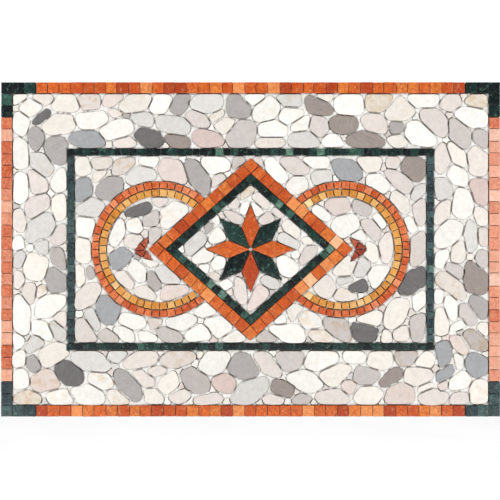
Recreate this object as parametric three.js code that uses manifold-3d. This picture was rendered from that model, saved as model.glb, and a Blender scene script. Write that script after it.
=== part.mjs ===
// A stone mosaic panel, made to be set flat on a wall or in a floor.
// Squared marble tiles draw a border, a frame, a diamond and two rings, and a star fills the middle.
// Sawn flat pebbles fill everything between them, on a thin adhesive bed over a mesh backing.
// Millimetres. The panel stands upright: X runs along its width, Z up, and its face looks towards -Y.
// The origin is the middle of the back face, where the panel meets what it is fixed to.

import * as THREE from 'three';
import { mergeVertices } from 'three/addons/utils/BufferGeometryUtils.js';
import Module from 'manifold-3d';

const wasm = await Module();
wasm.setup();

// The whole panel
const panelWidth = 1000;
const panelHeight = 670;
const backingThickness = 1.5;
const bedThickness = 2;

// The squared tiles: the large ones make the border and the diamond, the small ones the rest
const largeTile = 23;
const smallTile = 15;
const tileThickness = 8.5;
const tileUnevenness = 0.9;
const tileJoint = 0.5;
const rowJoint = 0.7;
const jointWander = 0.06;

// The green corner pieces of the border, counted in tiles along each edge
const cornerTiles = 3;

// The pebble band between the border and the green frame
const outerBandWidth = 109;

// The two rings, which leave a strip of pebbles between themselves and the green frame
const ringFieldRadius = 106;
const ringSideGap = 33.3;
const circleSides = 28;

// The diamond, whose side tips reach past the rings' centres and whose upright tips nearly touch the frame
const diamondTipPastCentre = 23;
const diamondTipGap = 4.3;

// The eight-pointed star, which fills the diamond but for a gap at its tips
const petalCount = 8;
const starTipGap = 7.5;
const petalJoint = 1;
const starCentreGap = 3;

// The fan of shards at each side tip of the diamond
const shardCount = 4;
const shardLongEdge = 25;
const shardShortEdge = 18;
const shardSpread = THREE.MathUtils.degToRad(51);
const shardPitch = THREE.MathUtils.degToRad(56);
const shardApexGap = 1.6;
const shardTipGap = 3;
const leftFanAngle = THREE.MathUtils.degToRad(190);
const rightFanAngle = THREE.MathUtils.degToRad(2);

// The pebbles; a size is the side of the square that a pebble and its share of the gaps would fill
const pebbleThickness = 8;
const pebbleUnevenness = 1.2;
const pebbleTilt = Math.tan(THREE.MathUtils.degToRad(1.2));
const pebbleGap = 3.4;
const closestPebbleGap = 1.2;
const pebbleEdgeGap = 0.6;
const bandPebbleSize = 42;
const cornerPebbleSize = 40;
const ringPebbleSize = 37.5;
const starPebbleSize = 31.5;
const smallestPebbleSize = 13.5;
const sixSidedPebbleSize = 40;
const fiveSidedPebbleSize = 25.5;
const alignedDepth = 40;
const surveyStep = 4;
const settlingRounds = 14;
const outlineRays = 36;
const pebbleFullness = 1.05;

// Pieces that meet in different nodes keep this much air between them
const clearance = 0.3;

// Past the top of every stone
const cuttingHeight = tileThickness + pebbleThickness;

function seededRandom(seed) {
  let state = seed >>> 0;
  return () => {
    state = (state + 0x6d2b79f5) >>> 0;
    let mixed = Math.imul(state ^ (state >>> 15), state | 1);
    mixed ^= mixed + Math.imul(mixed ^ (mixed >>> 7), mixed | 61);
    return ((mixed ^ (mixed >>> 14)) >>> 0) / 4294967296;
  };
}

const point = (x, y) => new THREE.Vector2(x, y);

const polar = (centre, radius, angle) =>
  point(centre.x + radius * Math.cos(angle), centre.y + radius * Math.sin(angle));

// Solids and the joins and cuts between them

function solidFrom(geometry) {
  const bare = new THREE.BufferGeometry();
  const plain = geometry.index ? geometry.toNonIndexed() : geometry;
  bare.setAttribute('position', plain.getAttribute('position'));
  const merged = mergeVertices(bare, 1e-4);
  return new wasm.Manifold(
    new wasm.Mesh({
      numProp: 3,
      vertProperties: merged.getAttribute('position').array,
      triVerts: new Uint32Array(merged.index.array),
    }),
  );
}

function geometryFrom(solid) {
  const mesh = solid.getMesh();
  const geometry = new THREE.BufferGeometry();
  geometry.setAttribute('position', new THREE.BufferAttribute(new Float32Array(mesh.vertProperties), 3));
  geometry.setIndex(new THREE.BufferAttribute(new Uint32Array(mesh.triVerts), 1));
  geometry.computeVertexNormals();
  return geometry;
}

// An upright prism over an outline, from one height to another.
function extruded(outline, bottom, top) {
  const geometry = new THREE.ExtrudeGeometry(new THREE.Shape(outline), {
    depth: top - bottom,
    bevelEnabled: false,
  });
  return geometry.translate(0, 0, bottom);
}

const prism = (outline, bottom, top) => solidFrom(extruded(outline, bottom, top));

// A prism that reaches past every stone, for cutting with.
const cutter = (outline) => prism(outline, -clearance, cuttingHeight);

const joined = (solids) => solids.reduce((whole, next) => whole.add(next));

const cutBy = (solid, cutters) => cutters.reduce((rest, cutter) => rest.subtract(cutter), solid);

// Flat outlines, all running counter-clockwise

const rectangle = (left, right, bottom, top) => [
  point(left, bottom),
  point(right, bottom),
  point(right, top),
  point(left, top),
];

function circle(centre, radius) {
  const corners = Array.from({ length: circleSides }, (_, i) => (i * 2 * Math.PI) / circleSides);
  return corners.map((angle) => polar(centre, radius, angle));
}

// A many-sided outline whose flat sides touch the circle from outside.
const circleAround = (centre, radius) => circle(centre, radius / Math.cos(Math.PI / circleSides));

// The part of a convex outline that lies where normal . p <= limit.
function clipped(outline, normal, limit) {
  const kept = [];
  outline.forEach((from, i) => {
    const to = outline[(i + 1) % outline.length];
    const fromSide = normal.dot(from) - limit;
    const toSide = normal.dot(to) - limit;
    if (fromSide <= 0) kept.push(from.clone());
    if (fromSide * toSide < 0) kept.push(from.clone().lerp(to, fromSide / (fromSide - toSide)));
  });
  return kept;
}

// The outward normals and offsets of a convex outline's edges.
function edgesOf(outline) {
  return outline.map((from, i) => {
    const along = outline[(i + 1) % outline.length].clone().sub(from).normalize();
    const normal = point(along.y, -along.x);
    return { normal, limit: normal.dot(from) };
  });
}

// A convex outline grown outwards by a distance, or shrunk by a negative one.
function grown(outline, distance) {
  const edges = edgesOf(outline);
  return edges.map((edge, i) => {
    const before = edges[(i + edges.length - 1) % edges.length];
    const first = before.limit + distance;
    const second = edge.limit + distance;
    const turn = before.normal.cross(edge.normal);
    return point(
      (first * edge.normal.y - second * before.normal.y) / turn,
      (second * before.normal.x - first * edge.normal.x) / turn,
    );
  });
}

// How far a point lies inside a convex outline; negative outside it.
function depthInside(edges, p) {
  let depth = Infinity;
  for (const { normal, limit } of edges) {
    depth = Math.min(depth, limit - normal.x * p.x - normal.y * p.y);
  }
  return depth;
}

// Where the parts of the drawing lie

const origin = point(0, 0);
const halfWidth = panelWidth / 2;
const halfHeight = panelHeight / 2;
const cornerLength = cornerTiles * (largeTile + tileJoint) - tileJoint;

const bandHalfWidth = halfWidth - largeTile - rowJoint;
const bandHalfHeight = halfHeight - largeTile - rowJoint;
const frameHalfWidth = bandHalfWidth - outerBandWidth;
const frameHalfHeight = bandHalfHeight - outerBandWidth;
const openingHalfWidth = frameHalfWidth - smallTile;
const openingHalfHeight = frameHalfHeight - smallTile;

const ringOuterStart = ringFieldRadius + smallTile + rowJoint;
const ringOutsideRadius = ringOuterStart + smallTile;
const ringCentreDistance = openingHalfWidth - ringSideGap - ringOutsideRadius;

const diamondHalfWidth = ringCentreDistance + diamondTipPastCentre;
const diamondHalfHeight = openingHalfHeight - diamondTipGap;
const diamondInnerRadius = (diamondHalfWidth * diamondHalfHeight) / Math.hypot(diamondHalfWidth, diamondHalfHeight);

// The diamond's outline, moved inwards by a distance.
const diamondOutline = (inset) =>
  grown(
    [
      point(diamondHalfWidth, 0),
      point(0, diamondHalfHeight),
      point(-diamondHalfWidth, 0),
      point(0, -diamondHalfHeight),
    ],
    -inset,
  );

const starFieldInset = largeTile + smallTile + 2 * rowJoint;
const petalLength = diamondInnerRadius - starFieldInset - starTipGap;

// Rows of tiles

// The boundaries between the tiles of a row, with joints that wander a little as hand-laid ones do.
function tileBoundaries(start, end, tileSize, random) {
  const count = Math.max(1, Math.round((end - start) / (tileSize + tileJoint)));
  const pitch = (end - start) / count;
  const between = Array.from({ length: count - 1 }, (_, i) => {
    const wander = (random() - 0.5) * 2 * jointWander * pitch;
    return start + (i + 1) * pitch + wander;
  });
  return [start, ...between, end];
}

const tileHeight = (random) => tileThickness - random() * tileUnevenness;

// A straight row of tiles over a convex outline: each tile tilts a little its own way.
function tileRow(outline, direction, tileSize, seed) {
  const random = seededRandom(seed);
  const across = point(direction.y, -direction.x);
  const along = outline.map((p) => p.dot(direction));
  const sideways = outline.map((p) => p.dot(across));
  const start = Math.min(...along);
  const end = Math.max(...along);
  const boundaries = tileBoundaries(start, end, tileSize, random);
  boundaries[0] = start - tileSize;
  boundaries[boundaries.length - 1] = end + tileSize;

  const skyline = boundaries.map((s) => point(s, tileHeight(random)));
  const foot = [point(end + tileSize, 0), point(start - tileSize, 0)];
  const first = Math.min(...sideways) - tileSize;
  const geometry = new THREE.ExtrudeGeometry(new THREE.Shape([...skyline, ...foot].reverse()), {
    depth: Math.max(...sideways) + tileSize - first,
    bevelEnabled: false,
  });
  const placing = new THREE.Matrix4().makeBasis(
    new THREE.Vector3(direction.x, direction.y, 0),
    new THREE.Vector3(0, 0, 1),
    new THREE.Vector3(across.x, across.y, 0),
  );
  geometry.translate(0, 0, first).applyMatrix4(placing);
  return solidFrom(geometry).intersect(cutter(outline));
}

// A green corner of the border: an L of tiles, its upright leg let into the level one.
function cornerPiece(signX, signY, seed) {
  const outerX = signX * halfWidth;
  const outerY = signY * halfHeight;
  const box = (x, y) =>
    rectangle(Math.min(outerX, x), Math.max(outerX, x), Math.min(outerY, y), Math.max(outerY, y));
  const levelLeg = box(outerX - signX * cornerLength, outerY - signY * largeTile);
  const uprightLeg = box(outerX - signX * largeTile, outerY - signY * cornerLength);
  const legStart = outerY - signY * (largeTile - tileJoint);
  const lower = point(0, signY);
  const shortLeg = clipped(uprightLeg, lower, lower.dot(point(0, legStart)));
  const level = tileRow(levelLeg, point(1, 0), largeTile, seed);
  return level.add(tileRow(shortLeg, point(0, 1), largeTile, seed + 1));
}

// One side of a diamond ring of tiles. It holds the tile at its first corner and stops at the next row.
function diamondSide(index, inset, tileSize, seed) {
  const outer = diamondOutline(inset);
  const edges = edgesOf(outer);
  const own = edges[index];
  const next = edges[(index + 1) % edges.length];
  const strip = clipped(outer, own.normal.clone().negate(), tileSize - own.limit);
  const outline = clipped(strip, next.normal, next.limit - tileSize - rowJoint);
  const direction = point(-own.normal.y, own.normal.x);
  return tileRow(outline, direction, tileSize, seed);
}

// A ring row of wedge tiles that tilt like the others, cut off where it runs under the diamond.
function ringRow(centre, innerRadius, seed) {
  const random = seededRandom(seed);
  const outerRadius = innerRadius + smallTile;
  const length = Math.PI * (innerRadius + outerRadius);
  const count = Math.round(length / (smallTile + tileJoint));
  const section = [
    point(innerRadius, 0),
    point(outerRadius, 0),
    point(outerRadius, tileThickness),
    point(innerRadius, tileThickness),
    point(innerRadius, 0),
  ];
  const geometry = new THREE.LatheGeometry(section, count);
  const heights = Array.from({ length: count }, () => tileHeight(random));
  const positions = geometry.getAttribute('position');
  for (let i = 0; i < positions.count; i += 1) {
    const joint = Math.floor(i / section.length) % count;
    if (positions.getY(i) > 0) positions.setY(i, heights[joint]);
  }
  geometry.rotateX(Math.PI / 2).translate(centre.x, centre.y, 0);
  return solidFrom(geometry).subtract(cutter(diamondOutline(-rowJoint)));
}

// The star and the shards

function petalOutline(index) {
  const direction = (index * 2 * Math.PI) / petalCount;
  const halfAngle = Math.PI / petalCount;
  const side = petalLength / (2 * Math.cos(halfAngle));
  const rhombus = [
    origin,
    polar(origin, side, direction - halfAngle),
    polar(origin, petalLength, direction),
    polar(origin, side, direction + halfAngle),
  ];
  const inwards = polar(origin, -1, direction);
  return clipped(grown(rhombus, -petalJoint / 2), inwards, -starCentreGap);
}

// A fan of small triangular shards just past one side tip of the diamond.
function fanOutlines(signX, fanAngle) {
  const centre = point(signX * (diamondHalfWidth + shardTipGap), 0);
  return Array.from({ length: shardCount }, (_, i) => {
    const middle = fanAngle + (i - (shardCount - 1) / 2) * shardPitch;
    const longFirst = i % 2 === 0;
    return [
      polar(centre, shardApexGap, middle),
      polar(centre, longFirst ? shardLongEdge : shardShortEdge, middle - shardSpread / 2),
      polar(centre, longFirst ? shardShortEdge : shardLongEdge, middle + shardSpread / 2),
    ];
  });
}

const flatPiece = (outline, seed) => prism(outline, 0, tileHeight(seededRandom(seed)));

// Pebbles

// The free points of a region on a survey grid, each with its room: the distance to the region's edge.
function survey(bounds, room) {
  const points = [];
  for (let x = bounds[0].x + surveyStep / 2; x < bounds[2].x; x += surveyStep) {
    for (let y = bounds[0].y + surveyStep / 2; y < bounds[2].y; y += surveyStep) {
      const p = point(x, y);
      if (room(p) > 0) points.push(p);
    }
  }
  return points;
}

// Starting places, each the most distant of a few random tries.
function scattered(points, count, random) {
  const tries = 16;
  const places = [];
  for (let i = 0; i < count; i += 1) {
    let best = null;
    let bestDistance = -1;
    for (let t = 0; t < tries; t += 1) {
      const candidate = points[Math.floor(random() * points.length)];
      const distance = places.reduce((least, p) => Math.min(least, p.distanceToSquared(candidate)), Infinity);
      if (distance > bestDistance) {
        best = candidate;
        bestDistance = distance;
      }
    }
    places.push(best);
  }
  return places.map((p) => p.clone());
}

// A pebble's own measure of distance: 1 on the edge of its ideal oval.
function ovalDistance(stone, p) {
  const x = p.x - stone.centre.x;
  const y = p.y - stone.centre.y;
  const along = (x * stone.cos + y * stone.sin) / stone.halfLength;
  const across = (y * stone.cos - x * stone.sin) / stone.halfWidth;
  return Math.sqrt(along * along + across * across);
}

// A pebble lies roughly along the nearest edge of its region, the more so the closer it is.
function newStone(centre, size, room, random) {
  const slopeX = room(point(centre.x + surveyStep, centre.y)) - room(point(centre.x - surveyStep, centre.y));
  const slopeY = room(point(centre.x, centre.y + surveyStep)) - room(point(centre.x, centre.y - surveyStep));
  const edgeDirection = Math.atan2(slopeX, -slopeY);
  const depth = Math.min(room(centre) / alignedDepth, 1);
  const freedom = THREE.MathUtils.lerp(0.5, 2, depth);
  const angle = edgeDirection + (random() - 0.5) * freedom;
  const share = THREE.MathUtils.lerp(0.4, 1.7, random());
  const slenderness = THREE.MathUtils.lerp(1.2, 2.4, random());
  const radius = size * Math.sqrt(share / Math.PI);
  return {
    centre,
    cos: Math.cos(angle),
    sin: Math.sin(angle),
    halfLength: radius * Math.sqrt(slenderness),
    halfWidth: radius / Math.sqrt(slenderness),
    reach: 3 * radius * Math.sqrt(slenderness),
  };
}

function nearestStone(stones, p) {
  let nearest = null;
  let least = Infinity;
  for (const stone of stones) {
    if (Math.abs(p.x - stone.centre.x) > stone.reach) continue;
    if (Math.abs(p.y - stone.centre.y) > stone.reach) continue;
    const distance = ovalDistance(stone, p);
    if (distance < least) {
      least = distance;
      nearest = stone;
    }
  }
  return nearest;
}

// The pebbles settle: each moves to the middle of the ground that is nearer to it than to any other.
function settle(stones, points) {
  for (let round = 0; round < settlingRounds; round += 1) {
    const sums = new Map(stones.map((stone) => [stone, { x: 0, y: 0, count: 0 }]));
    for (const p of points) {
      const owner = nearestStone(stones, p);
      if (!owner) continue;
      const sum = sums.get(owner);
      sum.x += p.x;
      sum.y += p.y;
      sum.count += 1;
    }
    for (const [stone, sum] of sums) {
      if (sum.count > 0) stone.centre = point(sum.x / sum.count, sum.y / sum.count);
    }
  }
}

// How far a pebble reaches in one direction before a neighbour, the region's edge or its own oval stops it.
function reachTowards(stone, neighbours, room, angle) {
  const step = surveyStep / 8;
  const roundness = 1.12;
  let radius = step;
  while (radius < stone.reach) {
    const p = polar(stone.centre, radius, angle);
    const own = ovalDistance(stone, p);
    if (own > roundness || room(p) < pebbleEdgeGap) break;
    const past = polar(stone.centre, radius + pebbleGap / 2, angle);
    const ownPast = ovalDistance(stone, past);
    if (neighbours.some((other) => ovalDistance(other, past) < ownPast)) break;
    radius += step;
  }
  return radius - step;
}

const outlineArea = (outline) => Math.abs(THREE.ShapeUtils.area(outline));

// Takes away the corner that matters least until only so many are left.
function simplified(outline, sides) {
  const corners = outline.map((p) => p.clone());
  while (corners.length > sides) {
    let least = 0;
    let leastArea = Infinity;
    corners.forEach((corner, i) => {
      const before = corners[(i + corners.length - 1) % corners.length];
      const after = corners[(i + 1) % corners.length];
      const lost = outlineArea([before, corner, after]);
      if (lost < leastArea) {
        leastArea = lost;
        least = i;
      }
    });
    corners.splice(least, 1);
  }
  return corners;
}

// Large pebbles get more sides than small ones.
function pebbleSides(area) {
  if (area > sixSidedPebbleSize ** 2) return 6;
  return area > fiveSidedPebbleSize ** 2 ? 5 : 4;
}

function stoneOutline(stone, stones, room) {
  const neighbours = stones.filter(
    (other) => other !== stone && other.centre.distanceTo(stone.centre) < stone.reach + other.reach,
  );
  const angles = Array.from({ length: outlineRays }, (_, i) => (i * 2 * Math.PI) / outlineRays);
  const radii = angles.map((angle) => reachTowards(stone, neighbours, room, angle));
  const rounded = radii.map((radius, i) => {
    const before = radii[(i + outlineRays - 1) % outlineRays];
    const after = radii[(i + 1) % outlineRays];
    return Math.min(radius, (before + after + radius) / 3);
  });
  const outline = angles.map((angle, i) => polar(stone.centre, rounded[i], angle));
  return simplified(outline, pebbleSides(outlineArea(outline))).map((p) => filledOut(p, stone, neighbours, room));
}

// A corner moved outwards, to make up for the roundness lost between corners, where there is space for it.
function filledOut(corner, stone, neighbours, room) {
  const fuller = stone.centre.clone().lerp(corner, pebbleFullness);
  const own = ovalDistance(stone, fuller);
  const crowded = neighbours.some((other) => ovalDistance(other, fuller) < own);
  return crowded || room(fuller) < pebbleEdgeGap ? corner : fuller;
}

// Draws in the corners of each pebble that come too close to another pebble.
function keepApart(pebbles) {
  const step = 0.02;
  for (const pebble of pebbles) {
    const reach = Math.max(...pebble.outline.map((p) => p.distanceTo(pebble.centre)));
    const others = pebbles.filter((other) => other !== pebble && other.centre.distanceTo(pebble.centre) < 2 * reach);
    for (const other of others) {
      const edges = edgesOf(grown(other.outline, closestPebbleGap));
      for (const corner of pebble.outline) {
        while (depthInside(edges, corner) > 0) corner.lerp(pebble.centre, step);
      }
    }
  }
}

// All pebbles of a region, as outlines with a height each.
function packPebbles(bounds, room, size, seed) {
  const random = seededRandom(seed);
  const points = survey(bounds, room);
  const count = Math.round((points.length * surveyStep * surveyStep) / size ** 2);
  const stones = scattered(points, count, random).map((place) => newStone(place, size, room, random));
  settle(stones, points);
  const tilt = () => (random() - 0.5) * 2 * pebbleTilt;
  const pebbles = stones.map((stone) => ({
    centre: stone.centre,
    outline: stoneOutline(stone, stones, room),
    height: pebbleThickness - random() * pebbleUnevenness,
    slope: point(tilt(), tilt()),
  }));
  const kept = pebbles.filter((pebble) => outlineArea(pebble.outline) > smallestPebbleSize ** 2);
  keepApart(kept);
  return kept;
}

// A pebble standing in the bed, with a flat sawn top that tilts a little.
function standingPebble(pebble) {
  const foot = bedThickness / 2;
  const geometry = extruded(pebble.outline, foot, pebble.height);
  const positions = geometry.getAttribute('position');
  for (let i = 0; i < positions.count; i += 1) {
    const fromCentre = point(positions.getX(i), positions.getY(i)).sub(pebble.centre);
    const top = pebble.height + pebble.slope.dot(fromCentre);
    if (positions.getZ(i) > foot) positions.setZ(i, top);
  }
  return solidFrom(geometry);
}

const liesOn = (section, pebble) => depthInside(edgesOf(section), pebble.centre) > 0;

// The pebbles that lie on earlier sections and lap over into this one.
function lappingPebbles(pebbles, section, earlierSections) {
  const edges = edgesOf(section);
  const before = pebbles.filter((pebble) => earlierSections.some((earlier) => liesOn(earlier, pebble)));
  return before.filter((pebble) => pebble.outline.some((p) => depthInside(edges, p) > -pebbleGap));
}

// One pebble field: its bed, and the pebbles whose middle lies on it. A pebble may lap over the next bed.
function pebbleField(pebbles, sections, index, obstacles) {
  const section = sections[index];
  const bed = cutBy(prism(section, 0, bedThickness), obstacles);
  const own = pebbles.filter((pebble) => liesOn(section, pebble));
  const standing = own.map(standingPebble);
  const nextBeds = sections
    .filter((other) => other !== section)
    .map((other) => prism(grown(other, clearance), -clearance, bedThickness + clearance));
  const lapping = lappingPebbles(pebbles, section, sections.slice(0, index))
    .map((pebble) => cutter(grown(pebble.outline, clearance)));
  const stones = cutBy(joined(standing), [...obstacles, ...nextBeds, ...lapping]);
  return bed.add(stones);
}

// The finished pieces

function stoneMaterial(colour, roughness) {
  return new THREE.MeshStandardMaterial({ color: colour, roughness, metalness: 0 });
}

const materials = {
  backing: () => stoneMaterial(0xd8d5cc, 0.9),
  orange: () => stoneMaterial(0xd9602a, 0.45),
  green: () => stoneMaterial(0x1f3a35, 0.4),
  yellow: () => stoneMaterial(0xd8a15a, 0.45),
  brownRed: () => stoneMaterial(0xae4c2e, 0.5),
  pebble: () => stoneMaterial(0xe6dfd8, 0.55),
};

const panel = new THREE.Group();

// Everything laid on the backing shares this group, which starts at the backing's face.
const laid = new THREE.Group();
laid.position.z = backingThickness;
panel.add(laid);

function lay(name, solid, material) {
  const mesh = new THREE.Mesh(geometryFrom(solid), material());
  mesh.name = name;
  laid.add(mesh);
}

function addBacking() {
  const geometry = new THREE.BoxGeometry(panelWidth, panelHeight, backingThickness);
  const mesh = new THREE.Mesh(geometry, materials.backing());
  mesh.name = 'backing_mesh';
  mesh.position.z = backingThickness / 2;
  panel.add(mesh);
}

// The four rows of a rectangular ring of tiles. The level rows run past the upright ones by endOverlap.
function addRectangleRows(prefix, outerX, outerY, tileSize, levelEnd, uprightEnd, material, seed) {
  const innerX = outerX - tileSize;
  const innerY = outerY - tileSize;
  const level = point(1, 0);
  const upright = point(0, 1);
  const rows = [
    ['top', rectangle(-levelEnd, levelEnd, innerY, outerY), level],
    ['bottom', rectangle(-levelEnd, levelEnd, -outerY, -innerY), level],
    ['left', rectangle(-outerX, -innerX, -uprightEnd, uprightEnd), upright],
    ['right', rectangle(innerX, outerX, -uprightEnd, uprightEnd), upright],
  ];
  rows.forEach(([side, outline, direction], i) => {
    lay(`${prefix}_row_${side}`, tileRow(outline, direction, tileSize, seed + i), material);
  });
}

function addBorder() {
  const levelEnd = halfWidth - cornerLength - rowJoint;
  const uprightEnd = halfHeight - cornerLength - rowJoint;
  addRectangleRows('border', halfWidth, halfHeight, largeTile, levelEnd, uprightEnd, materials.orange, 100);
  const corners = [
    ['top_left', -1, 1],
    ['top_right', 1, 1],
    ['bottom_left', -1, -1],
    ['bottom_right', 1, -1],
  ];
  corners.forEach(([place, signX, signY], i) => {
    lay(`border_corner_${place}`, cornerPiece(signX, signY, 120 + 2 * i), materials.green);
  });
}

function addFrame() {
  const uprightEnd = frameHalfHeight - smallTile - rowJoint;
  addRectangleRows(
    'frame',
    frameHalfWidth,
    frameHalfHeight,
    smallTile,
    frameHalfWidth,
    uprightEnd,
    materials.green,
    140,
  );
}

function addDiamond() {
  const sides = ['upper_right', 'upper_left', 'lower_left', 'lower_right'];
  sides.forEach((side, i) => {
    const outer = diamondSide(i, 0, largeTile, 160 + i);
    lay(`diamond_outer_row_${side}`, outer, materials.orange);
    const inner = diamondSide(i, largeTile + rowJoint, smallTile, 170 + i);
    lay(`diamond_inner_row_${side}`, inner, materials.green);
  });
}

function addRings() {
  const rings = [
    ['left', -1],
    ['right', 1],
  ];
  rings.forEach(([side, signX], i) => {
    const centre = point(signX * ringCentreDistance, 0);
    const inner = ringRow(centre, ringFieldRadius, 180 + i);
    lay(`ring_${side}_inner_row`, inner, materials.yellow);
    const outer = ringRow(centre, ringOuterStart, 190 + i);
    lay(`ring_${side}_outer_row`, outer, materials.orange);
  });
}

function addStar() {
  for (let i = 0; i < petalCount; i += 1) {
    const material = i % 2 === 0 ? materials.orange : materials.green;
    lay(`star_petal_${i + 1}`, flatPiece(petalOutline(i), 200 + i), material);
  }
}

function addShards() {
  const fans = [
    ['left', fanOutlines(-1, leftFanAngle)],
    ['right', fanOutlines(1, rightFanAngle)],
  ];
  fans.forEach(([side, outlines], fan) => {
    outlines.forEach((outline, i) => {
      lay(`shard_${side}_${i + 1}`, flatPiece(outline, 220 + 10 * fan + i), materials.brownRed);
    });
  });
}

function addOuterBand() {
  const whole = rectangle(-bandHalfWidth, bandHalfWidth, -bandHalfHeight, bandHalfHeight);
  const frame = rectangle(-frameHalfWidth, frameHalfWidth, -frameHalfHeight, frameHalfHeight);
  const frameCut = grown(frame, rowJoint);
  const seamX = frameHalfWidth + rowJoint;
  const seamY = frameHalfHeight + rowJoint;
  const wholeEdges = edgesOf(whole);
  const frameEdges = edgesOf(frameCut);
  const room = (p) => Math.min(depthInside(wholeEdges, p), -depthInside(frameEdges, p));
  const pebbles = packPebbles(whole, room, bandPebbleSize, 301);
  const sections = [
    ['top', rectangle(-bandHalfWidth, bandHalfWidth, seamY, bandHalfHeight)],
    ['bottom', rectangle(-bandHalfWidth, bandHalfWidth, -bandHalfHeight, -seamY)],
    ['left', rectangle(-bandHalfWidth, -seamX, clearance - seamY, seamY - clearance)],
    ['right', rectangle(seamX, bandHalfWidth, clearance - seamY, seamY - clearance)],
  ];
  addSections('pebbles_band', pebbles, sections, [frameCut]);
}

function addSections(prefix, pebbles, sections, obstacles) {
  const cutters = obstacles.map(cutter);
  const outlines = sections.map(([, outline]) => outline);
  sections.forEach(([place], i) => {
    lay(`${prefix}_${place}`, pebbleField(pebbles, outlines, i, cutters), materials.pebble);
  });
}

function addCornerFields() {
  const halfX = openingHalfWidth - rowJoint;
  const halfY = openingHalfHeight - rowJoint;
  const whole = rectangle(-halfX, halfX, -halfY, halfY);
  const diamond = diamondOutline(-rowJoint);
  const discs = [-1, 1].map((signX) => {
    const centre = point(signX * ringCentreDistance, 0);
    return circleAround(centre, ringOutsideRadius + rowJoint);
  });
  const obstacles = [diamond, ...discs];
  const wholeEdges = edgesOf(whole);
  const obstacleEdges = obstacles.map(edgesOf);
  const room = (p) =>
    obstacleEdges.reduce((least, edges) => Math.min(least, -depthInside(edges, p)), depthInside(wholeEdges, p));
  const pebbles = packPebbles(whole, room, cornerPebbleSize, 401);
  const half = clearance / 2;
  const sections = [
    ['top_left', rectangle(-halfX, -half, half, halfY)],
    ['top_right', rectangle(half, halfX, half, halfY)],
    ['bottom_left', rectangle(-halfX, -half, -halfY, -half)],
    ['bottom_right', rectangle(half, halfX, -halfY, -half)],
  ];
  addSections('pebbles_corner', pebbles, sections, obstacles);
}

function addRingFields() {
  const rings = [
    ['left', -1, leftFanAngle],
    ['right', 1, rightFanAngle],
  ];
  rings.forEach(([side, signX, fanAngle], i) => {
    const disc = circle(point(signX * ringCentreDistance, 0), ringFieldRadius - rowJoint);
    const shards = fanOutlines(signX, fanAngle).map((outline) => grown(outline, rowJoint));
    const obstacles = [diamondOutline(-rowJoint), ...shards];
    const discEdges = edgesOf(disc);
    const obstacleEdges = obstacles.map(edgesOf);
    const room = (p) =>
      obstacleEdges.reduce((least, edges) => Math.min(least, -depthInside(edges, p)), depthInside(discEdges, p));
    const centre = point(signX * ringCentreDistance, 0);
    const bounds = rectangle(
      centre.x - ringFieldRadius,
      centre.x + ringFieldRadius,
      -ringFieldRadius,
      ringFieldRadius,
    );
    const pebbles = packPebbles(bounds, room, ringPebbleSize, 501 + i);
    lay(`pebbles_ring_${side}`, pebbleField(pebbles, [disc], 0, obstacles.map(cutter)), materials.pebble);
  });
}

function addStarField() {
  const whole = diamondOutline(starFieldInset);
  const petals = Array.from({ length: petalCount }, (_, i) => grown(petalOutline(i), petalJoint / 2 + clearance));
  const heart = circle(origin, 2 * starCentreGap);
  const obstacles = [...petals, heart];
  const wholeEdges = edgesOf(whole);
  const obstacleEdges = obstacles.map(edgesOf);
  const room = (p) =>
    obstacleEdges.reduce((least, edges) => Math.min(least, -depthInside(edges, p)), depthInside(wholeEdges, p));
  const bounds = rectangle(-diamondHalfWidth, diamondHalfWidth, -diamondHalfHeight, diamondHalfHeight);
  const pebbles = packPebbles(bounds, room, starPebbleSize, 601);
  lay('pebbles_star', pebbleField(pebbles, [whole], 0, obstacles.map(cutter)), materials.pebble);
}

addBacking();
addBorder();
addFrame();
addDiamond();
addRings();
addStar();
addShards();
addOuterBand();
addCornerFields();
addRingFields();
addStarField();

// The drawing above lies flat, face up. Turned about X it stands upright with its face towards -Y.
panel.rotation.x = Math.PI / 2;

const root = new THREE.Group();
root.add(panel);

export default root;
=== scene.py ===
"""Looks of a stone mosaic panel, built in Blender 4.5 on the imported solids.

The drawing plane is x to the right and z up, in millimetres. Heights are measured
from the back face of the panel towards the viewer, who stands on the -Y side.
"""

import math
import random

import bpy
import numpy as np
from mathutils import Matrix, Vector, noise
from mathutils.bvhtree import BVHTree
from mathutils.geometry import convex_hull_2d
from mathutils.kdtree import KDTree


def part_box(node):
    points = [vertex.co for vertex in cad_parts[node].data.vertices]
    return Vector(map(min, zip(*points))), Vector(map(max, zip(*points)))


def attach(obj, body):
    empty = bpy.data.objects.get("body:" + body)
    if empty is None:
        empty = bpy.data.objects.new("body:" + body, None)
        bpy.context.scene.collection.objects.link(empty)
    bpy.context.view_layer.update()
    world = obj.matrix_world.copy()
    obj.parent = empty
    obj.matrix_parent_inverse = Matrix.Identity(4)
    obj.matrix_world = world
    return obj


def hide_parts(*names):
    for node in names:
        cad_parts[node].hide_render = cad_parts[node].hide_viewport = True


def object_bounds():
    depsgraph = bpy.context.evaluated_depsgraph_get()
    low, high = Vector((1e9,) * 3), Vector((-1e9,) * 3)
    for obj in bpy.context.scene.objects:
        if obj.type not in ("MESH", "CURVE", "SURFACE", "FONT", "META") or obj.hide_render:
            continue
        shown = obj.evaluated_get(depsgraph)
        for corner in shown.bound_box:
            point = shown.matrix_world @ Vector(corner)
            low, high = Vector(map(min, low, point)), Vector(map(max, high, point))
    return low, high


METRES = 0.001

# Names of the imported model's nodes
SIDES = ("top", "bottom", "left", "right")
CORNERS = ("top_left", "top_right", "bottom_left", "bottom_right")
QUARTERS = ("upper_right", "upper_left", "lower_left", "lower_right")
HANDS = ("left", "right")
PETALS = 8
SHARDS = 4

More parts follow.
